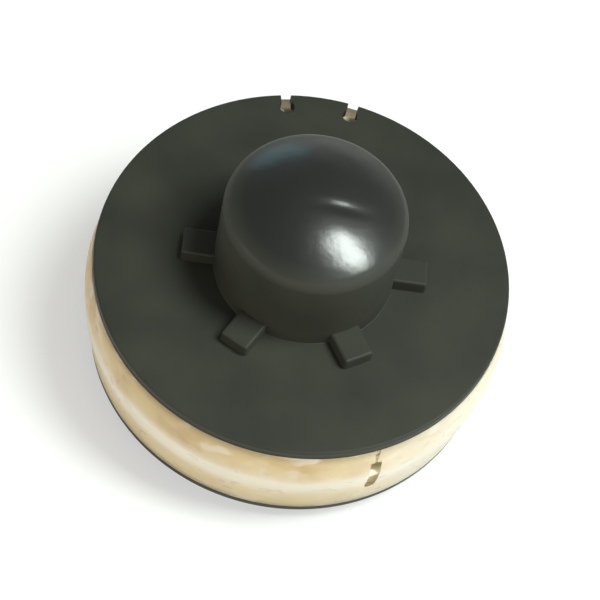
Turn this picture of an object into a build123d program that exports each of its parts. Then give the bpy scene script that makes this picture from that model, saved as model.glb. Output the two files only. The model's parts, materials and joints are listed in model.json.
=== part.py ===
# Trimmer line spool: a one-piece moulded spool with a domed bump knob, its wound line, and the
# film that is wrapped round the full spool to keep the line from springing out.
# Millimetres, +Z up along the spool's axis. z = 0 is the plane of the lower lugs' feet.
import os
from math import acos, cos, degrees, radians, sin, tan

from build123d import *

# Spool body: hub, flanges and knob
bore_radius = 15.8  # hollow of the hub, open below, that runs on the trimmer head's boss
hub_wall = 2.4
flange_radius = 42.0
flange_thickness = 2.2
rim_bevel = 0.5  # outer edge of each flange
channel_height = 21.9  # between the flanges' inner faces
knob_height = 20.0  # straight side of the knob above the upper flange
knob_draft = 0.6  # degrees
knob_foot_bevel = 0.6  # between the knob and the upper flange
shoulder_round = 3.2  # between the knob's side and its dome
dome_rise = 5.4
dome_wall = 2.4

# Lugs: the upper ring indexes in the cover of the head, the lower ring is driven by the head
lug_count = 6
lug_draft = 1.5  # degrees
lug_bevel = 0.5
upper_lug_depth = 6.5  # out from the knob's side
upper_lug_width = 6.2
upper_lug_height = 3.0
lower_lug_setback = 0.4  # out from the bore's wall to the lug
lower_lug_depth = 5.1  # along the radius
lower_lug_width = 6.0
lower_lug_height = 5.0

# Keyhole notches in the upper rim, where the two line ends are parked
notch_middle_angle = 90.0  # degrees, midway between two lugs
notch_half_spread = 10.0  # degrees from the middle to each notch
notch_slot_width = 2.2
notch_hole_radius = 1.6
notch_hole_depth = 3.3  # from the rim to the hole's centre

# Wound line
line_diameter = 1.8
line_sides = 8  # flats that stand for the line's round section
winding_gap = 7.0  # from the rim in to the outside of the winding
winding_clearance = 0.05
turn_groove_depth = 0.5  # between neighbouring turns
outer_turn_clearance = 0.1  # to the film
outer_turn_drop = 8.7  # from the upper flange down to the loose outer turn
outer_turn_sweep = 318.0  # degrees that the loose turn runs against the film
lift_radius = 20.0  # bend where the loose turn leaves the winding
lift_angle = 140.0  # degrees, where it reaches the film

# Wrap film
film_thickness = 0.25
film_clearance = 0.03  # on the rims
film_lap = 0.2  # of each rim's thickness that the film covers
film_bulge = 1.3  # how far the loose turn pushes the film out
film_crest_height = 3.0  # band that lies on the loose turn
slit_angle = -65.0  # degrees, where the film's ends meet
slit_top_width = 1.2
slit_neck_width = 0.5
slit_neck_depth = 4.0  # from the film's top edge
slit_window_width = 2.3
slit_depth = 15.0  # from the film's top edge

# Levels and radii that follow from those
hub_radius = bore_radius + hub_wall
lower_flange_bottom = lower_lug_height
channel_bottom = lower_flange_bottom + flange_thickness
channel_top = channel_bottom + channel_height
upper_flange_top = channel_top + flange_thickness
shoulder_level = upper_flange_top + knob_height
apex_level = shoulder_level + dome_rise
shoulder_radius = hub_radius - knob_height * tan(radians(knob_draft))
dome_radius = (shoulder_radius**2 + dome_rise**2) / (2 * dome_rise)
dome_centre_level = apex_level - dome_radius
cavity_dome_radius = dome_radius - dome_wall
bore_end_level = dome_centre_level + (cavity_dome_radius**2 - bore_radius**2) ** 0.5
winding_radius = flange_radius - winding_gap
outer_turn_level = channel_top - outer_turn_drop
film_inner_radius = flange_radius + film_clearance
film_bottom = channel_bottom - film_lap
film_top = channel_top + film_lap
film_crest_radius = film_inner_radius + film_bulge


def around_axis(shape, count):
    return [Rot(0, 0, index * 360 / count) * shape for index in range(count)]


def corner_of(section, point):
    return section.vertices().sort_by_distance((*point, 0))[0]


def body_of_revolution():
    outline = Polyline(
        (0, apex_level - dome_wall),
        (0, apex_level),
    )
    outline += TangentArc((0, apex_level), (shoulder_radius, shoulder_level), tangent=(1, 0))
    outline += Polyline(
        (shoulder_radius, shoulder_level),
        (hub_radius, upper_flange_top),
        (flange_radius, upper_flange_top),
        (flange_radius, channel_top),
        (hub_radius, channel_top),
        (hub_radius, channel_bottom),
        (flange_radius, channel_bottom),
        (flange_radius, lower_flange_bottom),
        (bore_radius, lower_flange_bottom),
        (bore_radius, bore_end_level),
    )
    outline += TangentArc((0, apex_level - dome_wall), (bore_radius, bore_end_level), tangent=(1, 0))
    section = make_face(outline)
    bevels = {
        (hub_radius, upper_flange_top): knob_foot_bevel,
        (flange_radius, upper_flange_top): rim_bevel,
        (flange_radius, lower_flange_bottom): rim_bevel,
    }
    for corner, length in bevels.items():
        section = chamfer(corner_of(section, corner), length)
    section = fillet(corner_of(section, (shoulder_radius, shoulder_level)), shoulder_round)
    return revolve(Plane.XZ * section, Axis.Z)


def drafted_lug(inner_radius, depth, width, height):
    foot = Pos(inner_radius + depth / 2, 0) * Rectangle(depth, width)
    block = extrude(foot, height, taper=lug_draft)
    free_edges = [edge for edge in block.edges() if edge.center().Z > height / 4]
    return chamfer(free_edges, lug_bevel)


def upper_lugs():
    rooted = hub_wall / 2  # the lug starts inside the knob's wall
    lug = drafted_lug(hub_radius - rooted, rooted + upper_lug_depth, upper_lug_width, upper_lug_height)
    return around_axis(Pos(0, 0, upper_flange_top) * lug, lug_count)


def lower_lugs():
    lug = drafted_lug(bore_radius + lower_lug_setback, lower_lug_depth, lower_lug_width, lower_lug_height)
    return around_axis(Pos(0, 0, lower_flange_bottom) * Rot(180, 0, 0) * lug, lug_count)


def keyhole_notches():
    hole_centre = flange_radius - notch_hole_depth
    slot_length = notch_hole_depth + notch_slot_width
    keyhole = Pos(hole_centre, 0) * Circle(notch_hole_radius)
    keyhole += Pos(hole_centre + slot_length / 2, 0) * Rectangle(slot_length, notch_slot_width)
    cutter = extrude(Pos(0, 0, channel_top) * keyhole, flange_thickness)
    sides = (-notch_half_spread, notch_half_spread)
    return [Rot(0, 0, notch_middle_angle + side) * cutter for side in sides]


def spool_body():
    return body_of_revolution() + upper_lugs() + lower_lugs() - keyhole_notches()


def packed_turns():
    low = channel_bottom + winding_clearance
    high = channel_top - winding_clearance
    inner = hub_radius + winding_clearance
    valley = winding_radius - turn_groove_depth
    turn_count = int((high - low) / line_diameter)
    pitch = (high - low) / turn_count
    outline = [(inner, high), (inner, low)]
    for turn in range(turn_count):
        base = low + turn * pitch
        outline += [(valley, base), (winding_radius, base + pitch / 2)]
    outline.append((valley, high))
    return revolve(Plane.XZ * make_face(Polyline(outline, close=True)), Axis.Z)


def loose_outer_turn():
    turn_radius = film_crest_radius - outer_turn_clearance - line_diameter / 2
    lift_offset = turn_radius - lift_radius
    root_radius = winding_radius - line_diameter
    lift_cosine = (root_radius**2 - lift_offset**2 - lift_radius**2) / (2 * lift_offset * lift_radius)
    lift_sweep = degrees(acos(lift_cosine))
    lift_centre = (lift_offset * cos(radians(lift_angle)), lift_offset * sin(radians(lift_angle)))
    path = CenterArc(lift_centre, lift_radius, lift_angle - lift_sweep, lift_sweep)
    path += CenterArc((0, 0), turn_radius, lift_angle, outer_turn_sweep)
    path = Pos(0, 0, outer_turn_level) * path
    start = Plane(origin=path @ 0, z_dir=path % 0)
    return sweep(start * RegularPolygon(line_diameter / 2, line_sides), path=path)


def wound_line():
    return loose_outer_turn() + packed_turns()


def film_slit():
    neck_level = film_top - slit_neck_depth
    slit_end = film_top - slit_depth
    half_window = slit_window_width / 2
    outline = Polyline(
        (-half_window, slit_end + half_window),
        (-half_window, neck_level),
        (-slit_neck_width / 2, neck_level),
        (-slit_top_width / 2, film_top),
        (slit_top_width / 2, film_top),
        (slit_neck_width / 2, neck_level),
        (half_window, neck_level),
        (half_window, slit_end + half_window),
    )
    outline += ThreePointArc(
        (half_window, slit_end + half_window),
        (0, slit_end),
        (-half_window, slit_end + half_window),
    )
    face_of_film = Plane(origin=(0, 0, 0), x_dir=(0, 1, 0), z_dir=(1, 0, 0))
    return Rot(0, 0, slit_angle) * extrude(face_of_film * make_face(outline), 2 * film_crest_radius)


def wrap_film():
    crest_bottom = outer_turn_level - film_crest_height / 2
    crest_top = outer_turn_level + film_crest_height / 2
    inner_side = [
        (film_inner_radius, film_bottom),
        (film_crest_radius, crest_bottom),
        (film_crest_radius, crest_top),
        (film_inner_radius, film_top),
    ]
    outer_side = [(radius + film_thickness, level) for radius, level in reversed(inner_side)]
    section = make_face(Polyline(inner_side + outer_side, close=True))
    return revolve(Plane.XZ * section, Axis.Z) - film_slit()


os.makedirs("parts", exist_ok=True)
export_step(spool_body(), "parts/spool_body.step")
export_step(wound_line(), "parts/wound_line.step")
export_step(wrap_film(), "parts/wrap_film.step")
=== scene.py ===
import json
import math

import bmesh
import bpy
from mathutils import Matrix, Vector, noise


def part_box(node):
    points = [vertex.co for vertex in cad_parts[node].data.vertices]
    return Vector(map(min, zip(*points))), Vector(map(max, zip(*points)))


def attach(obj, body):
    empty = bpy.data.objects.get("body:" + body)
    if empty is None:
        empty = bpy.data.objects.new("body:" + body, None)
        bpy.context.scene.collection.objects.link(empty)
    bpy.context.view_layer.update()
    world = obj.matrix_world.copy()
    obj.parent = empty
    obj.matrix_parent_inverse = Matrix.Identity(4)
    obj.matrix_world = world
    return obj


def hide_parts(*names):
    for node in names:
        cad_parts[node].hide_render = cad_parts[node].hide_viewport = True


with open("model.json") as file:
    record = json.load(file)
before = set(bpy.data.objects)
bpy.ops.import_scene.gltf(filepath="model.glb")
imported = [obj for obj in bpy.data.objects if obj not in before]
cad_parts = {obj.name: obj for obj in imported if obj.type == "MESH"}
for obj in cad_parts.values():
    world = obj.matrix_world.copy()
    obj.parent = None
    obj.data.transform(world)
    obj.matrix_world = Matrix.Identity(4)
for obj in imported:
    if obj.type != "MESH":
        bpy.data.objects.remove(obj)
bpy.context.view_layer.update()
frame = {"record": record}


def mm(value):
    return value / 1000


def toMm(value):
    return value * 1000


# sizes that the frame already fixes, in mm
bore = next(m for m in frame["record"]["mounts"] if m["name"] == "head_bore")
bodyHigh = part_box("spool_body")[1]
lineLow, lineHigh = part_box("wound_line")
filmLow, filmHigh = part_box("wrap_film")
flangeRadius = toMm(bodyHigh.x)
apexLevel = toMm(bodyHigh.z)
boreRadius = bore["dims"]["r_mm"]
flangeBottom = toMm(bore["pos_m"][2])
windingBottom, windingTop = toMm(lineLow.z), toMm(lineHigh.z)
filmBottom, filmTop = toMm(filmLow.z), toMm(filmHigh.z)
crestRadius = toMm(filmHigh.x)


# small helpers
slack = 0.02  # mm, for finding edges by their place
mergeGap = 0.002  # mm, nearer vertices become one


def clearSelection():
    if bpy.context.mode != "OBJECT":
        bpy.ops.object.mode_set(mode="OBJECT")
    bpy.ops.object.select_all(action="DESELECT")


def pickOnly(piece):
    clearSelection()
    piece.select_set(True)
    bpy.context.view_layer.objects.active = piece


def editMesh(piece):
    pickOnly(piece)
    bpy.ops.object.mode_set(mode="EDIT")


def objectMode():
    bpy.ops.object.mode_set(mode="OBJECT")


def selectEdges(piece, wanted):
    mesh = bmesh.from_edit_mesh(piece.data)
    bpy.ops.mesh.select_mode(type="EDGE")
    bpy.ops.mesh.select_all(action="DESELECT")
    for edge in mesh.edges:
        edge.select_set(wanted(edge))
    bmesh.update_edit_mesh(piece.data)


def selectFaces(piece, wanted):
    mesh = bmesh.from_edit_mesh(piece.data)
    bpy.ops.mesh.select_mode(type="FACE")
    bpy.ops.mesh.select_all(action="DESELECT")
    for face in mesh.faces:
        face.select_set(wanted(face))
    bmesh.update_edit_mesh(piece.data)


def drawChain(name, points):
    # one vertex, pulled out point by point; points are x, y, z in mm
    clearSelection()
    bpy.ops.mesh.primitive_plane_add(size=mm(1))
    piece = bpy.context.object
    piece.name = name
    bpy.ops.object.mode_set(mode="EDIT")
    bpy.ops.mesh.select_mode(type="VERT")
    bpy.ops.mesh.select_all(action="SELECT")
    bpy.ops.mesh.merge(type="CENTER")
    bpy.ops.transform.translate(value=[mm(v) for v in points[0]])
    for start, end in zip(points, points[1:]):
        step = [mm(b - a) for a, b in zip(start, end)]
        bpy.ops.mesh.extrude_vertices_move(TRANSFORM_OT_translate={"value": step})
    return piece


def lathe(name, profile, steps):
    # profile is radius, level in mm, spun once round the axis
    piece = drawChain(name, [(radius, 0, level) for radius, level in profile])
    bpy.ops.mesh.select_all(action="SELECT")
    bpy.ops.mesh.spin(steps=steps, angle=math.tau, center=(0, 0, 0), axis=(0, 0, 1))
    bpy.ops.mesh.select_all(action="SELECT")
    bpy.ops.mesh.remove_doubles(threshold=mm(mergeGap))
    bpy.ops.mesh.normals_make_consistent(inside=False)
    objectMode()
    return piece


def roundRing(piece, radius, level, width, segments):
    # bevels the ring of edges at that radius and level
    editMesh(piece)

    def near(vertex):
        out = toMm(math.hypot(vertex.co.x, vertex.co.y)) - radius
        up = toMm(vertex.co.z) - level
        return abs(out) < slack and abs(up) < slack

    def onRing(edge):
        return all(near(v) for v in edge.verts)

    selectEdges(piece, onRing)
    bpy.ops.mesh.bevel(offset=mm(width), segments=segments, affect="EDGES", clamp_overlap=False)
    objectMode()


def combine(piece, tool, operation):
    # boolean with a tool piece, which is then gone
    pickOnly(piece)
    cut = piece.modifiers.new("combine", "BOOLEAN")
    cut.operation = operation
    cut.solver = "EXACT"
    cut.object = tool
    bpy.ops.object.modifier_apply(modifier=cut.name)
    bpy.data.objects.remove(tool)


def joinPieces(pieces, name):
    clearSelection()
    for piece in pieces:
        piece.select_set(True)
    bpy.context.view_layer.objects.active = pieces[0]
    bpy.ops.object.join()
    pieces[0].name = name
    return pieces[0]


def smoothShade(piece, degrees):
    pickOnly(piece)
    bpy.ops.object.shade_smooth_by_angle(angle=math.radians(degrees))
    level = piece.modifiers.new("level", "WEIGHTED_NORMAL")  # keeps flat faces flat beside their rounds
    level.keep_sharp = True
    bpy.ops.object.modifier_apply(modifier=level.name)


def polar(radius, degrees, level):
    angle = math.radians(degrees)
    return (radius * math.cos(angle), radius * math.sin(angle), level)


def hexColour(code):
    # sRGB hex to linear colour
    values = [int(code[i:i + 2], 16) / 255 for i in (1, 3, 5)]
    linear = [v / 12.92 if v <= 0.04045 else ((v + 0.055) / 1.055) ** 2.4 for v in values]
    return (*linear, 1)


def addNode(tree, kind, props=None, values=None, links=None):
    node = tree.nodes.new(kind)
    for name, value in (props or {}).items():
        setattr(node, name, value)
    for name, value in (values or {}).items():
        node.inputs[name].default_value = value
    for name, socket in (links or {}).items():
        tree.links.new(socket, node.inputs[name])
    return node


def newMaterial(name):
    material = bpy.data.materials.new(name)
    material.use_nodes = True
    tree = material.node_tree
    tree.nodes.clear()
    output = addNode(tree, "ShaderNodeOutputMaterial")
    return material, tree, output


def perMetre(size):
    # a pattern's scale from the real size of its marks in mm
    return 1000 / size


mixFactor, mixFirst, mixSecond, mixResult = 0, 6, 7, 2  # a Mix node's colour sockets


# spool moulding: hub, flanges, knob, lugs and notches, one piece
moulding = {
    "steps": 240,
    "hubWall": 2.4,
    "flangeThickness": 2.2,
    "channelHeight": 21.9,
    "knobHeight": 20.0,
    "knobDraft": 0.6,  # degrees
    "domeWall": 2.4,
    "domeRings": 40,
    "shoulderRound": 3.2,
    "shoulderRings": 10,
    "rimRound": 0.5,
    "rimSegments": 5,
    "lowerRimRound": 0.2,
    "lowerRimSegments": 3,
    "footRound": 0.2,
    "footSegments": 4,
    "mouthRound": 0.4,
    "mouthSegments": 3,
    "lugRing": 27.0,  # radius of a ring of edges outside the lugs
    "notchRing": 36.0,  # and of one inside the notches
    "sharpFrom": 32,  # degrees, flatter edges are shaded smooth
}
upperLug = {"depth": 6.5, "width": 6.2, "height": 3.0}
lowerLug = {"setback": 0.4, "depth": 5.1, "width": 6.0, "height": flangeBottom}
lugs = {"count": 6, "draft": 1.5, "round": 0.5, "segments": 4, "sunk": 0.6}
notch = {
    "middle": 90.0,
    "halfSpread": 10.0,  # degrees
    "slotWidth": 2.2,
    "holeRadius": 1.6,
    "holeSides": 48,
    "holeDepth": 3.3,
}
dent = {  # worn spot beside the apex
    "x": 4.2,
    "y": -2.1,
    "across": 6.0,
    "along": 1.6,
    "depth": 0.28,
    "steep": 1.6,
}
uneven = {  # knocks all over the dome
    "height": 0.05,
    "size": 5.0,
    "edge": 1.0,
    "fade": 4.0,
    "skin": 0.1,  # what lies deeper is the inside of the dome
}

channelBottom = flangeBottom + moulding["flangeThickness"]
channelTop = channelBottom + moulding["channelHeight"]
flangeTop = channelTop + moulding["flangeThickness"]
shoulderLevel = flangeTop + moulding["knobHeight"]
hubRadius = boreRadius + moulding["hubWall"]
shoulderRadius = hubRadius - moulding["knobHeight"] * math.tan(math.radians(moulding["knobDraft"]))
domeRise = apexLevel - shoulderLevel
domeRadius = (shoulderRadius**2 + domeRise**2) / (2 * domeRise)
domeCentre = apexLevel - domeRadius


def arcPoints(radius, middle, start, end, count):
    # angles run down from straight up
    angles = [start + (end - start) * step / count for step in range(count + 1)]
    return [(middle[0] + radius * math.sin(a), middle[1] + radius * math.cos(a)) for a in angles]


def shoulderMiddle():
    # middle of the round that touches the dome and the drafted side from inside
    draft = math.radians(moulding["knobDraft"])
    out = Vector((math.cos(draft), math.sin(draft)))
    along = Vector((-math.sin(draft), math.cos(draft)))
    size = moulding["shoulderRound"]
    foot = out * (out.dot(Vector((hubRadius, flangeTop))) - size)
    away = foot - Vector((0, domeCentre))
    half = along.dot(away)
    climb = -half + math.sqrt(half**2 - away.length_squared + (domeRadius - size) ** 2)
    return foot + along * climb


def mouldingProfile():
    middle = shoulderMiddle()
    turn = math.atan2(middle.x, middle.y - domeCentre)
    side = math.pi / 2 - math.radians(moulding["knobDraft"])
    dome = arcPoints(domeRadius, (0, domeCentre), 0, turn, moulding["domeRings"])
    shoulder = arcPoints(moulding["shoulderRound"], middle, turn, side, moulding["shoulderRings"])
    cavityRadius = domeRadius - moulding["domeWall"]
    cavityTurn = math.asin(boreRadius / cavityRadius)
    cavity = arcPoints(cavityRadius, (0, domeCentre), cavityTurn, 0, moulding["shoulderRings"])
    walls = [
        (hubRadius, flangeTop),
        (moulding["lugRing"], flangeTop),
        (moulding["notchRing"], flangeTop),
        (flangeRadius, flangeTop),
        (flangeRadius, channelTop),
        (moulding["notchRing"], channelTop),
        (hubRadius, channelTop),
        (hubRadius, channelBottom),
        (flangeRadius, channelBottom),
        (flangeRadius, flangeBottom),
        (moulding["lugRing"], flangeBottom),
        (boreRadius, flangeBottom),
    ]
    return dome + shoulder[1:] + walls + cavity


def makeLugs(name, size, innerRadius, seatLevel, up):
    depth, width, height = size["depth"], size["width"], size["height"]
    sunk = lugs["sunk"]
    middle = seatLevel + up * (height - sunk) / 2
    clearSelection()
    bpy.ops.mesh.primitive_cube_add(
        size=1,
        location=(mm(innerRadius + depth / 2), 0, mm(middle)),
        scale=(mm(depth), mm(width), mm(height + sunk)),
    )
    lug = bpy.context.object
    lug.name = name
    bpy.ops.object.transform_apply(location=True, rotation=True, scale=True)
    editMesh(lug)
    selectFaces(lug, lambda face: face.normal.z * up > 0.5)  # the end away from the flange
    shrink = 2 * (height + sunk) * math.tan(math.radians(lugs["draft"]))
    bpy.ops.transform.resize(value=((depth - shrink) / depth, (width - shrink) / width, 1))
    seat = seatLevel - up * sunk

    def free(edge):
        return any(abs(toMm(v.co.z) - seat) > slack for v in edge.verts)

    selectEdges(lug, free)
    bpy.ops.mesh.bevel(offset=mm(lugs["round"]), segments=lugs["segments"], affect="EDGES")
    bpy.ops.mesh.select_all(action="SELECT")
    turns = lugs["count"] - 1
    sweep = math.tau * turns / lugs["count"]
    bpy.ops.mesh.spin(steps=turns, dupli=True, angle=sweep, center=(0, 0, 0), axis=(0, 0, 1))
    bpy.ops.mesh.select_all(action="SELECT")
    bpy.ops.mesh.normals_make_consistent(inside=False)
    objectMode()
    return lug


def makeNotchCutter(angle):
    centre = flangeRadius - notch["holeDepth"]
    middle = (channelTop + flangeTop) / 2
    tall = moulding["flangeThickness"] * 2
    slotTall = tall * 0.99  # so that its ends don't lie on the hole's
    slotLength = notch["holeDepth"] * 2
    clearSelection()
    bpy.ops.mesh.primitive_cylinder_add(
        vertices=notch["holeSides"],
        radius=mm(notch["holeRadius"]),
        depth=mm(tall),
        location=(mm(centre), 0, mm(middle)),
    )
    cutter = bpy.context.object
    cutter.name = "notchCutter"
    bpy.ops.object.transform_apply(location=True, rotation=True, scale=True)
    bpy.ops.mesh.primitive_cube_add(
        size=1,
        location=(mm(centre + slotLength / 2), 0, mm(middle)),
        scale=(mm(slotLength), mm(notch["slotWidth"]), mm(slotTall)),
    )
    slot = bpy.context.object
    bpy.ops.object.transform_apply(location=True, rotation=True, scale=True)
    combine(cutter, slot, "UNION")
    cutter.data.transform(Matrix.Rotation(math.radians(angle), 4, "Z"))
    return cutter


def wearDome(piece):
    # a shallow dent and a slight unevenness, as on a knob that is knocked on the ground
    reach = shoulderRadius - uneven["edge"]
    for vertex in piece.data.vertices:
        place = toMm(vertex.co)
        away = math.hypot(place.x, place.y)
        inner = math.hypot(away, place.z - domeCentre) < domeRadius - uneven["skin"]
        if place.z < shoulderLevel or inner or away > reach:
            continue
        across = (place.x - dent["x"]) / dent["across"]
        along = (place.y - dent["y"]) / dent["along"]
        hollow = dent["depth"] * math.exp(-dent["steep"] * (across**2 + along**2))
        swell = noise.noise(Vector((place.x, place.y, 0)) / uneven["size"]) - 1
        fade = min(1, (reach - away) / uneven["fade"])
        vertex.co.z += mm((uneven["height"] * swell - hollow) * fade)


def makeMoulding():
    body = lathe("spool_moulding", mouldingProfile(), moulding["steps"])
    rings = [
        (hubRadius, flangeTop, moulding["footRound"], moulding["footSegments"]),
        (flangeRadius, flangeTop, moulding["rimRound"], moulding["rimSegments"]),
        (flangeRadius, flangeBottom, moulding["lowerRimRound"], moulding["lowerRimSegments"]),
        (boreRadius, flangeBottom, moulding["mouthRound"], moulding["mouthSegments"]),
    ]
    for radius, level, width, segments in rings:
        roundRing(body, radius, level, width, segments)
    rooted = moulding["hubWall"] / 2  # upper lugs start inside the knob's wall
    size = dict(upperLug, depth=upperLug["depth"] + rooted)
    combine(body, makeLugs("upperLugs", size, hubRadius - rooted, flangeTop, 1), "UNION")
    inner = boreRadius + lowerLug["setback"]
    combine(body, makeLugs("lowerLugs", lowerLug, inner, flangeBottom, -1), "UNION")
    for side in (-1, 1):
        combine(body, makeNotchCutter(notch["middle"] + side * notch["halfSpread"]), "DIFFERENCE")
    wearDome(body)
    smoothShade(body, moulding["sharpFrom"])
    return body


# wound line: packed turns on the hub and the loose last turn behind the film
line = {
    "diameter": 1.8,
    "windingGap": 7.0,  # from the rim in to the outside of the turns
    "stepsPerTurn": 120,
    "sides": 12,
    "looseDrop": 8.7,
    "looseSweep": 318.0,
    "looseGap": 0.35,  # from the film's outside to the loose turn
    "liftRadius": 20.0,
    "liftAngle": 140.0,
    "liftSteps": 40,
    "hubGap": 0.05,
    "sharpFrom": 40,  # degrees
}
sprung = {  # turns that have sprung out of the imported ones, seen through the slit
    "turns": 10,
    "pitch": 1.9,
    "inset": 1.0,  # from the rim to their middle
    "lift": 0.5,  # from the lower flange
    "tuck": 1.0,  # further in behind the loose turn
    "tuckReach": 3.0,
    "stray": 0.2,
    "size": 14.0,
    "seed": 1,
}
looseLevel = channelTop - line["looseDrop"]


def lineSection(name, radius, level):
    # a ring of vertices across the line's path, standing in the XZ plane
    clearSelection()
    bpy.ops.mesh.primitive_circle_add(
        vertices=line["sides"],
        radius=mm(line["diameter"] / 2),
        location=(mm(radius), 0, mm(level)),
        rotation=(math.pi / 2, 0, 0),
    )
    section = bpy.context.object
    section.name = name
    bpy.ops.object.transform_apply(location=True, rotation=True, scale=True)
    return section


def windUp(section, turns, pitch):
    screw = section.modifiers.new("coil", "SCREW")
    screw.axis = "Z"
    screw.iterations = turns
    screw.screw_offset = mm(pitch)
    screw.steps = line["stepsPerTurn"]
    screw.render_steps = line["stepsPerTurn"]
    bpy.ops.object.modifier_apply(modifier=screw.name)


def makePackedTurns():
    diameter = line["diameter"]
    turns = int((windingTop - windingBottom) / diameter) - 1
    pitch = (windingTop - windingBottom - diameter) / turns
    radius = flangeRadius - line["windingGap"] - diameter / 2
    coil = lineSection("packedTurns", radius, windingBottom + diameter / 2)
    windUp(coil, turns, pitch)
    return coil


def makeSprungTurns():
    level = windingBottom + line["diameter"] / 2 + sprung["lift"]
    coil = lineSection("sprungTurns", flangeRadius - sprung["inset"], level)
    windUp(coil, sprung["turns"], sprung["pitch"])
    noise.seed_set(sprung["seed"])  # noise_vector would follow the clock
    for vertex in coil.data.vertices:
        drift = noise.noise_vector(toMm(vertex.co) / sprung["size"])
        out = Vector((vertex.co.x, vertex.co.y, 0)).normalized()
        vertex.co += (out * drift.x + Vector((0, 0, drift.z))) * mm(sprung["stray"])
        near = max(0, 1 - abs(toMm(vertex.co.z) - looseLevel) / sprung["tuckReach"])
        vertex.co -= out * mm(sprung["tuck"]) * near * near * (3 - 2 * near)  # eased in and out
    return coil


def makeWindingCore():
    # the turns below the outer layer, as one drum
    inner = hubRadius + line["hubGap"]
    outer = flangeRadius - line["windingGap"] - line["diameter"] / 2
    corners = [(inner, windingBottom), (outer, windingBottom), (outer, windingTop), (inner, windingTop)]
    return lathe("windingCore", corners + corners[:1], line["stepsPerTurn"])


def makeLooseTurn():
    radius = crestRadius - line["looseGap"] - line["diameter"] / 2
    run = lineSection("looseTurn", radius, looseLevel)
    run.data.transform(Matrix.Rotation(math.radians(line["liftAngle"]), 4, "Z"))
    lift = run.copy()
    lift.data = run.data.copy()
    bpy.context.collection.objects.link(lift)
    editMesh(run)
    bpy.ops.mesh.select_all(action="SELECT")
    bpy.ops.mesh.spin(
        steps=line["stepsPerTurn"],
        angle=math.radians(line["looseSweep"]),
        center=(0, 0, 0),
        axis=(0, 0, 1),
    )
    editMesh(lift)
    bpy.ops.mesh.select_all(action="SELECT")
    offset = radius - line["liftRadius"]
    centre = [mm(v) for v in polar(offset, line["liftAngle"], looseLevel)]
    root = flangeRadius - line["windingGap"] - line["diameter"]
    cosine = (root**2 - offset**2 - line["liftRadius"] ** 2) / (2 * offset * line["liftRadius"])
    bpy.ops.mesh.spin(steps=line["liftSteps"], angle=-math.acos(cosine), center=centre, axis=(0, 0, 1))
    objectMode()
    turn = joinPieces([run, lift], "looseTurn")
    editMesh(turn)
    bpy.ops.mesh.select_all(action="SELECT")
    bpy.ops.mesh.remove_doubles(threshold=mm(mergeGap))
    objectMode()
    return turn


def makeLine():
    turns = [makePackedTurns(), makeWindingCore(), makeSprungTurns(), makeLooseTurn()]
    winding = joinPieces(turns, "wound_turns")
    editMesh(winding)
    bpy.ops.mesh.select_all(action="SELECT")
    bpy.ops.mesh.fill_holes(sides=line["sides"])  # cut ends of the line
    bpy.ops.mesh.normals_make_consistent(inside=False)
    objectMode()
    smoothShade(winding, line["sharpFrom"])
    return winding


# wrap film: thin milky sheet, stretched from rim to rim over the loose turn
film = {
    "thickness": 0.1,
    "steps": 480,
    "rows": 56,
    "rimGap": 0.03,
    "crestHeight": 3.0,  # band that lies on the loose turn
    "soften": 0.9,  # how far the band's edges are rounded
    "spare": 0.1,  # kept free outside the crest
    "slitAngle": -65.0,
    "slitTop": 1.2,
    "slitNeck": 0.5,
    "neckDepth": 4.0,
    "slitWindow": 2.3,
    "slitDepth": 15.0,
    "sharpFrom": 40,  # degrees
}
slitCut = {  # the tool that cuts the slit
    "above": 2.0,  # past the film's top edge
    "inside": 3.0,  # in from the rim
    "deep": 8.0,
    "arcStep": 15,  # degrees
}
creases = {
    "softHeight": 0.12,
    "softLength": 22.0,
    "softSize": 9.0,
    "fineHeight": 0.05,
    "fineLength": 9.0,
    "fineSize": 3.4,
    "slant": 0.45,  # rise of the creases along the film
    "clear": 0.01,  # kept inside the crest's radius
}
crumple = {"angle": -34.0, "level": 23.6, "wide": 8.0, "tall": 3.4, "height": 0.32, "size": 2.4}


def tautRadius(level):
    # straight from each rim to the band on the loose turn
    rim = flangeRadius + film["rimGap"] + film["thickness"]
    crest = crestRadius - film["spare"]
    half = film["crestHeight"] / 2
    if level > looseLevel:
        share = (filmTop - level) / (filmTop - looseLevel - half)
    else:
        share = (level - filmBottom) / (looseLevel - half - filmBottom)
    return rim + (crest - rim) * min(1, max(0, share))


def filmRadius(level):
    # averaged over a short run of levels, which rounds the band's edges
    soft = film["soften"]
    return sum(tautRadius(level + soft * step / 2) for step in (-2, -1, 0, 1, 2)) / 5


def creaseFilm(piece):
    # soft slanting creases between the rims, and one crumpled patch beside the slit
    for vertex in piece.data.vertices:
        place = toMm(vertex.co)
        angle = math.atan2(place.y, place.x)
        along = angle * flangeRadius
        share = (place.z - filmBottom) / (filmTop - filmBottom)
        hold = math.sin(math.pi * min(1, max(0, share)))
        ring = Vector((math.cos(angle), math.sin(angle), 0)) * flangeRadius
        drop = Vector((0, 0, place.z - along * creases["slant"]))
        soft = noise.noise(ring / creases["softLength"] + drop / creases["softSize"])
        fine = noise.noise(ring / creases["fineLength"] + drop / creases["fineSize"])
        sideways = (along - math.radians(crumple["angle"]) * flangeRadius) / crumple["wide"]
        upward = (place.z - crumple["level"]) / crumple["tall"]
        near = math.exp(-(sideways**2) - upward**2)
        fold = 0.5 - 2 * abs(noise.noise((ring + drop) / crumple["size"]))  # folds with sharp tops
        push = hold * (creases["softHeight"] * soft + creases["fineHeight"] * fine)
        push += crumple["height"] * near * fold
        free = crestRadius - math.hypot(place.x, place.y) - creases["clear"]
        vertex.co += ring.normalized() * mm(min(push, free))


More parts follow.
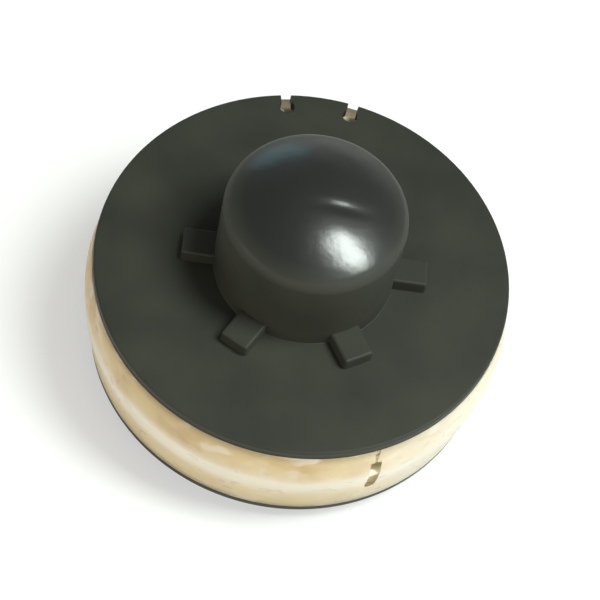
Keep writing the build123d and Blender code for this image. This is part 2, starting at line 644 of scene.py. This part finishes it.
def makeSlitCutter():
    window, neck, top = film["slitWindow"] / 2, film["slitNeck"] / 2, film["slitTop"] / 2
    neckLevel = filmTop - film["neckDepth"]
    end = filmTop - film["slitDepth"]
    half = [
        (top, filmTop + slitCut["above"]),
        (top, filmTop),
        (neck, neckLevel),
        (window, neckLevel),
        (window, end + window),
    ]
    arc = [math.radians(a) for a in range(slitCut["arcStep"], 180, slitCut["arcStep"])]
    roundEnd = [(window * math.cos(a), end + window - window * math.sin(a)) for a in arc]
    outline = half + roundEnd + [(-x, z) for x, z in reversed(half)]
    inner = flangeRadius - slitCut["inside"]
    cutter = drawChain("slitCutter", [(inner, y, z) for y, z in outline])
    bpy.ops.mesh.select_all(action="SELECT")
    bpy.ops.mesh.edge_face_add()
    bpy.ops.mesh.extrude_region_move(TRANSFORM_OT_translate={"value": (mm(slitCut["deep"]), 0, 0)})
    bpy.ops.mesh.select_all(action="SELECT")
    bpy.ops.mesh.normals_make_consistent(inside=False)
    objectMode()
    cutter.data.transform(Matrix.Rotation(math.radians(film["slitAngle"]), 4, "Z"))
    return cutter


def makeFilm():
    rows = film["rows"]
    levels = [filmBottom + (filmTop - filmBottom) * row / rows for row in range(rows + 1)]
    sheet = lathe("film_wrap", [(filmRadius(level), level) for level in levels], film["steps"])
    creaseFilm(sheet)
    pickOnly(sheet)
    wall = sheet.modifiers.new("wall", "SOLIDIFY")
    wall.thickness = mm(film["thickness"])
    wall.offset = -1
    bpy.ops.object.modifier_apply(modifier=wall.name)
    combine(sheet, makeSlitCutter(), "DIFFERENCE")
    smoothShade(sheet, film["sharpFrom"])
    return sheet


# black plastic: injection-moulded nylon, satin on the flanges, polished by use on the knob's dome
plasticFinish = {  # sizes and depths in mm
    "satinDark": "#2b2c25",
    "satinLight": "#34352d",
    "satinRough": (0.48, 0.56),
    "dome": "#161815",
    "domeRough": 0.21,
    "domeFrom": 0.2,  # above the shoulder's level
    "domeFull": 2.2,
    "ior": 1.53,
    "shine": 0.18,
    "patchSize": 16.0,
    "patchSpread": (0.3, 0.7),
    "grainSize": 0.8,  # coarser than the mould's own grain, which wouldn't show
    "grainDepth": 0.02,
    "grainStrength": 0.2,
    "scuffSize": 3.2,
    "scuffDepth": 0.05,
}


def blackPlastic():
    finish = plasticFinish
    material, tree, output = newMaterial("moulded_black_nylon")
    coords = addNode(tree, "ShaderNodeTexCoord").outputs["Object"]
    height = addNode(tree, "ShaderNodeSeparateXYZ", links={"Vector": coords}).outputs["Z"]
    dome = addNode(
        tree,
        "ShaderNodeMapRange",
        values={
            "From Min": mm(shoulderLevel + finish["domeFrom"]),
            "From Max": mm(shoulderLevel + finish["domeFull"]),
        },
        links={"Value": height},
    ).outputs["Result"]
    patches = addNode(
        tree,
        "ShaderNodeTexNoise",
        values={"Scale": perMetre(finish["patchSize"]), "Detail": 3},
        links={"Vector": coords},
    ).outputs["Fac"]
    grain = addNode(
        tree,
        "ShaderNodeTexNoise",
        values={"Scale": perMetre(finish["grainSize"]), "Detail": 2},
        links={"Vector": coords},
    ).outputs["Fac"]
    scuffs = addNode(
        tree,
        "ShaderNodeTexNoise",
        values={"Scale": perMetre(finish["scuffSize"]), "Detail": 3, "Roughness": 0.55},
        links={"Vector": coords},
    ).outputs["Fac"]
    mottle = addNode(
        tree,
        "ShaderNodeMapRange",
        values={"From Min": finish["patchSpread"][0], "From Max": finish["patchSpread"][1]},
        links={"Value": patches},
    ).outputs["Result"]
    satinColour = addNode(
        tree,
        "ShaderNodeMix",
        {"data_type": "RGBA"},
        {mixFirst: hexColour(finish["satinDark"]), mixSecond: hexColour(finish["satinLight"])},
        {mixFactor: mottle},
    ).outputs[mixResult]
    colour = addNode(
        tree,
        "ShaderNodeMix",
        {"data_type": "RGBA"},
        {mixSecond: hexColour(finish["dome"])},
        {mixFactor: dome, mixFirst: satinColour},
    ).outputs[mixResult]
    satin = addNode(
        tree,
        "ShaderNodeMapRange",
        values={"To Min": finish["satinRough"][0], "To Max": finish["satinRough"][1]},
        links={"Value": mottle},
    ).outputs["Result"]
    relief = addNode(
        tree,
        "ShaderNodeBump",
        values={"Strength": finish["grainStrength"], "Distance": mm(finish["grainDepth"])},
        links={"Height": grain},
    ).outputs["Normal"]
    wear = addNode(
        tree,
        "ShaderNodeBump",
        values={"Strength": 1.0, "Distance": mm(finish["scuffDepth"])},
        links={"Height": scuffs, "Normal": relief},
    ).outputs["Normal"]
    shader = addNode(
        tree,
        "ShaderNodeBsdfPrincipled",
        values={
            "IOR": finish["ior"],
            "Specular IOR Level": finish["shine"],
            "Coat Roughness": finish["domeRough"],
            "Coat IOR": finish["ior"],
        },
        links={
            "Base Color": colour,
            "Roughness": satin,
            "Normal": wear,
            "Coat Weight": dome,
            "Coat Normal": wear,
        },
    )
    tree.links.new(shader.outputs["BSDF"], output.inputs["Surface"])
    return material


# natural nylon: extruded monofilament, pale and a little see-through
lineFinish = {
    "dark": "#dccfae",
    "light": "#efe8d2",
    "rough": 0.32,
    "ior": 1.53,
    "cloudSize": 6.0,  # mm
    "glow": 0.35,
    "glowReach": (1.2, 1.0, 0.7),  # mm for red, green and blue
}


def naturalNylon():
    finish = lineFinish
    material, tree, output = newMaterial("natural_nylon_line")
    coords = addNode(tree, "ShaderNodeTexCoord").outputs["Object"]
    cloudy = addNode(
        tree,
        "ShaderNodeTexNoise",
        values={"Scale": perMetre(finish["cloudSize"]), "Detail": 3},
        links={"Vector": coords},
    ).outputs["Fac"]
    colour = addNode(
        tree,
        "ShaderNodeMix",
        {"data_type": "RGBA"},
        {mixFirst: hexColour(finish["dark"]), mixSecond: hexColour(finish["light"])},
        {mixFactor: cloudy},
    ).outputs[mixResult]
    shader = addNode(
        tree,
        "ShaderNodeBsdfPrincipled",
        values={
            "IOR": finish["ior"],
            "Roughness": finish["rough"],
            "Subsurface Weight": finish["glow"],
            "Subsurface Radius": [mm(v) for v in finish["glowReach"]],
            "Subsurface Scale": 1.0,
        },
        links={"Base Color": colour},
    )
    tree.links.new(shader.outputs["BSDF"], output.inputs["Surface"])
    return material


# milky polythene film: blown thin, lets light through; its colour is painted light and shade by height:
# cream on the turn that it touches, partly a painted highlight, and tan over the gap behind it as
# painted shade
filmFinish = {
    # painted shade and highlight by height: the cream band on the loose turn is partly its pale line
    # through the film and partly a painted highlight; the tan over the gap is painted shade, darkest at
    # the rims as painted shade under their edges
    "paintedLightZones": [  # mm from the loose turn's level, colour, share of the marks that shows
        (-13.4, "#a08f6a", 0.4),
        (-11.5, "#dfcfa3", 0.3),
        (-6.0, "#efe0b8", 0.3),
        (-2.6, "#fffaec", 0.0),
        (0.2, "#fffaec", 0.0),
        (3.2, "#eedcb2", 0.6),
        (6.8, "#e2cb9b", 0.7),
        (8.9, "#b09c72", 0.6),
    ],
    "wander": 0.7,  # mm, how far the zones' edges stray
    "stretch": 0.7,  # marks are longer round the film than up it
    "patch": "#cdab7a",
    "patchSize": 6.0,  # mm
    "patchSpread": (0.42, 0.76),
    # painted reflections: pale smears where the crinkled film catches the light
    "paintedGleam": "#fdf1e2",
    "paintedGleamSize": 3.4,
    "paintedGleamSpread": (0.52, 0.74),
    "litSidePaint": "#fdfaf0",  # painted light: paler on the side towards the key and right lamps
    "litSidePaintReach": (4.0, 36.0),  # mm from the middle towards +X
    "litSidePaintShare": 0.7,
    "wrinkleSize": 2.6,  # mm
    "wrinkleDepth": 0.1,
    "wrinkleStrength": 0.12,
    "wrinkleSpread": (0.3, 0.7),
    "rough": (0.26, 0.4),
    "ior": 1.51,
    "behind": "#fffaf0",
    "glow": 0.42,  # share of the light that comes through
}


def milkyFilm():
    finish = filmFinish
    material, tree, output = newMaterial("milky_polythene_film")
    coords = addNode(tree, "ShaderNodeTexCoord").outputs["Object"]
    along = addNode(
        tree,
        "ShaderNodeMapping",
        values={"Scale": (finish["stretch"], finish["stretch"], 1)},
        links={"Vector": coords},
    ).outputs["Vector"]
    clouds = addNode(
        tree,
        "ShaderNodeTexNoise",
        values={"Scale": perMetre(finish["patchSize"]), "Detail": 3},
        links={"Vector": along},
    ).outputs["Fac"]
    gleamNoise = addNode(
        tree,
        "ShaderNodeTexNoise",
        values={"Scale": perMetre(finish["paintedGleamSize"]), "Detail": 1},
        links={"Vector": along},
    ).outputs["Fac"]
    wrinkles = addNode(
        tree,
        "ShaderNodeTexNoise",
        values={"Scale": perMetre(finish["wrinkleSize"]), "Detail": 1},
        links={"Vector": along},
    ).outputs["Fac"]
    place = addNode(tree, "ShaderNodeSeparateXYZ", links={"Vector": coords}).outputs
    wander = addNode(
        tree,
        "ShaderNodeMapRange",
        values={"To Min": mm(-finish["wander"]), "To Max": mm(finish["wander"])},
        links={"Value": clouds},
    ).outputs["Result"]
    level = addNode(
        tree, "ShaderNodeMath", {"operation": "ADD"}, links={0: place["Z"], 1: wander}
    ).outputs["Value"]
    share = addNode(
        tree,
        "ShaderNodeMapRange",
        values={"From Min": mm(filmBottom), "From Max": mm(filmTop)},
        links={"Value": level},
    ).outputs["Result"]
    # painted shade and highlight, read off the zones by height
    ramp = addNode(tree, "ShaderNodeValToRGB", links={"Fac": share})
    stops = ramp.color_ramp.elements
    while len(stops) < len(finish["paintedLightZones"]):
        stops.new(0.5)
    for stop, (offset, colour, marks) in zip(stops, finish["paintedLightZones"]):
        stop.position = (looseLevel + offset - filmBottom) / (filmTop - filmBottom)
        stop.color = (*hexColour(colour)[:3], marks)
    patchy = addNode(
        tree,
        "ShaderNodeMapRange",
        {"interpolation_type": "SMOOTHSTEP"},
        {"From Min": finish["patchSpread"][0], "From Max": finish["patchSpread"][1]},
        {"Value": clouds, "To Max": ramp.outputs["Alpha"]},
    ).outputs["Result"]
    # painted reflections, the pale smears
    gleamShare = addNode(
        tree,
        "ShaderNodeMapRange",
        {"interpolation_type": "SMOOTHSTEP"},
        {"From Min": finish["paintedGleamSpread"][0], "From Max": finish["paintedGleamSpread"][1]},
        {"Value": gleamNoise, "To Max": ramp.outputs["Alpha"]},
    ).outputs["Result"]
    tanned = addNode(
        tree,
        "ShaderNodeMix",
        {"data_type": "RGBA"},
        {mixSecond: hexColour(finish["patch"])},
        {mixFactor: patchy, mixFirst: ramp.outputs["Color"]},
    ).outputs[mixResult]
    withGleams = addNode(
        tree,
        "ShaderNodeMix",
        {"data_type": "RGBA"},
        {mixSecond: hexColour(finish["paintedGleam"])},
        {mixFactor: gleamShare, mixFirst: tanned},
    ).outputs[mixResult]
    # painted light: paler towards +X, where the key and right lamps fall
    litSidePaintMask = addNode(
        tree,
        "ShaderNodeMapRange",
        {"interpolation_type": "SMOOTHSTEP"},
        {
            "From Min": mm(finish["litSidePaintReach"][0]),
            "From Max": mm(finish["litSidePaintReach"][1]),
            "To Max": finish["litSidePaintShare"],
        },
        {"Value": place["X"]},
    ).outputs["Result"]
    colour = addNode(
        tree,
        "ShaderNodeMix",
        {"data_type": "RGBA"},
        {mixSecond: hexColour(finish["litSidePaint"])},
        {mixFactor: litSidePaintMask, mixFirst: withGleams},
    ).outputs[mixResult]
    rough = addNode(
        tree,
        "ShaderNodeMapRange",
        values={
            "From Min": finish["wrinkleSpread"][0],
            "From Max": finish["wrinkleSpread"][1],
            "To Min": finish["rough"][0],
            "To Max": finish["rough"][1],
        },
        links={"Value": wrinkles},
    ).outputs["Result"]
    relief = addNode(
        tree,
        "ShaderNodeBump",
        values={"Strength": finish["wrinkleStrength"], "Distance": mm(finish["wrinkleDepth"])},
        links={"Height": wrinkles},
    ).outputs["Normal"]
    sheet = addNode(
        tree,
        "ShaderNodeBsdfPrincipled",
        values={"IOR": finish["ior"]},
        links={"Base Color": colour, "Roughness": rough, "Normal": relief},
    )
    glow = addNode(tree, "ShaderNodeBsdfTranslucent", values={"Color": hexColour(finish["behind"])})
    both = addNode(
        tree,
        "ShaderNodeMixShader",
        values={"Fac": finish["glow"]},
        links={1: sheet.outputs["BSDF"], 2: glow.outputs["BSDF"]},
    )
    tree.links.new(both.outputs["Shader"], output.inputs["Surface"])
    return material


def dress(piece, material, node):
    piece.data.materials.clear()
    piece.data.materials.append(material)
    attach(piece, "root")
    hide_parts(node)


dress(makeMoulding(), blackPlastic(), "spool_body")
print("moulding done")
dress(makeLine(), naturalNylon(), "wound_line")
print("line done")
dress(makeFilm(), milkyFilm(), "wrap_film")
print("film done")


# floor, light and camera
studio = {
    "floorSize": 6.0,  # metres
    "floorColour": "#f2f2f0",
    "floorGlow": 0.45,
    "glowColour": "#ffffff",
    "worldColour": "#fdfdfa",
    "horizon": 0.68,
    "overhead": 0.2,
    "dimFrom": 0.45,  # height in the sky, of 1, from which it is as dim as overhead
}
lamps = {  # from is a direction, away and size are metres, turn is degrees
    "keyLight": {
        "from": (0.434, -0.05, 0.894),
        "away": 0.9,
        "size": (0.5, 0.29),
        "turn": 70,
        "watts": 9.0,
        "colour": "#f6fff9",
    },
    "frontFill": {
        "from": (0.25, -0.93, 0.26),
        "away": 1.1,
        "size": (2.0, 1.3),
        "turn": 0,
        "watts": 6.8,
        "colour": "#fffaf0",
    },
    "leftFill": {
        "from": (-0.82, -0.55, 0.1),
        "away": 1.1,
        "size": (1.2, 1.2),
        "turn": 0,
        "watts": 6.6,
        "colour": "#fffaf0",
    },
    "rightFill": {
        "from": (0.93, -0.3, 0.2),
        "away": 1.1,
        "size": (1.2, 1.2),
        "turn": 0,
        "watts": 5.4,
        "colour": "#e0f0ff",
    },
    "coolBack": {
        "from": (-0.29, 0.907, 0.307),
        "away": 1.0,
        "size": (0.5, 0.3),
        "turn": 0,
        "watts": 0.4,
        "colour": "#8fd6e6",
    },
}
shot = {
    "azimuth": -7.3,  # degrees
    "elevation": 59.0,
    "roll": 14.0,
    "away": 354.0,  # mm
    "lookAt": (0.6, -3.0, 22.0),
    "pixelsPerMm": 4.9,  # at the point looked at
    "frameWidth": 600,  # pixels
    "sensor": 36.0,
    "clipStart": 10.0,
}


def seenAsBackdrop(tree):
    # 1 for what the camera, a reflection or clear plastic sees, 0 for the light that falls on the spool
    path = addNode(tree, "ShaderNodeLightPath").outputs
    mirrored = addNode(
        tree,
        "ShaderNodeMath",
        {"operation": "ADD", "use_clamp": True},
        links={0: path["Is Camera Ray"], 1: path["Is Glossy Ray"]},
    ).outputs["Value"]
    return addNode(
        tree,
        "ShaderNodeMath",
        {"operation": "ADD", "use_clamp": True},
        links={0: mirrored, 1: path["Is Transmission Ray"]},
    ).outputs["Value"]


def makeFloor():
    clearSelection()
    bpy.ops.mesh.primitive_plane_add(size=studio["floorSize"])
    floor = bpy.context.object
    floor.name = "floor"
    material, tree, output = newMaterial("pale_floor")
    paint = addNode(tree, "ShaderNodeBsdfDiffuse", values={"Color": hexColour(studio["floorColour"])})
    lift = addNode(
        tree,
        "ShaderNodeEmission",
        values={"Color": hexColour(studio["glowColour"])},
        links={"Strength": seenAsBackdrop(tree)},
    )
    both = addNode(
        tree,
        "ShaderNodeMixShader",
        values={"Fac": studio["floorGlow"]},
        links={1: paint.outputs["BSDF"], 2: lift.outputs["Emission"]},
    )
    tree.links.new(both.outputs["Shader"], output.inputs["Surface"])
    floor.data.materials.append(material)


def makeWorld():
    world = bpy.data.worlds.new("studio")
    bpy.context.scene.world = world
    world.use_nodes = True
    tree = world.node_tree
    tree.nodes.clear()
    output = addNode(tree, "ShaderNodeOutputWorld")
    direction = addNode(tree, "ShaderNodeTexCoord").outputs["Generated"]
    climb = addNode(tree, "ShaderNodeSeparateXYZ", links={"Vector": direction}).outputs["Z"]
    strength = addNode(  # white all round, dimmer towards the ceiling
        tree,
        "ShaderNodeMapRange",
        {"interpolation_type": "SMOOTHSTEP"},
        {
            "From Min": 0.0,
            "From Max": studio["dimFrom"],
            "To Min": studio["horizon"],
            "To Max": studio["overhead"],
        },
        {"Value": climb},
    ).outputs["Result"]
    sky = addNode(
        tree,
        "ShaderNodeBackground",
        values={"Color": hexColour(studio["worldColour"])},
        links={"Strength": strength},
    )
    tree.links.new(sky.outputs["Background"], output.inputs["Surface"])


def makeLamps():
    for name, lamp in lamps.items():
        clearSelection()
        place = Vector(lamp["from"]).normalized() * lamp["away"]
        bpy.ops.object.light_add(type="AREA", location=place)
        light = bpy.context.object
        light.name = name
        light.data.shape = "ELLIPSE"
        light.data.size, light.data.size_y = lamp["size"]
        light.data.energy = lamp["watts"]
        light.data.color = hexColour(lamp["colour"])[:3]
        turn = Matrix.Rotation(math.radians(lamp["turn"]), 3, "Z").to_quaternion()
        light.rotation_euler = (place.to_track_quat("Z", "Y") @ turn).to_euler()


def makeCamera():
    clearSelection()
    azimuth, elevation = math.radians(shot["azimuth"]), math.radians(shot["elevation"])
    back = Vector(
        (
            math.sin(azimuth) * math.cos(elevation),
            -math.cos(azimuth) * math.cos(elevation),
            math.sin(elevation),
        )
    )
    target = Vector([mm(v) for v in shot["lookAt"]])
    bpy.ops.object.camera_add(location=target + back * mm(shot["away"]))
    camera = bpy.context.object
    camera.name = "photoCamera"
    roll = Matrix.Rotation(math.radians(shot["roll"]), 3, "Z").to_quaternion()
    camera.rotation_euler = (back.to_track_quat("Z", "Y") @ roll).to_euler()
    camera.data.sensor_width = shot["sensor"]
    camera.data.lens = shot["sensor"] * shot["pixelsPerMm"] * shot["away"] / shot["frameWidth"]
    camera.data.clip_start = mm(shot["clipStart"])
    bpy.context.scene.camera = camera


makeFloor()
makeWorld()
makeLamps()
makeCamera()
bpy.context.scene.view_settings.view_transform = "Standard"
print("studio done")
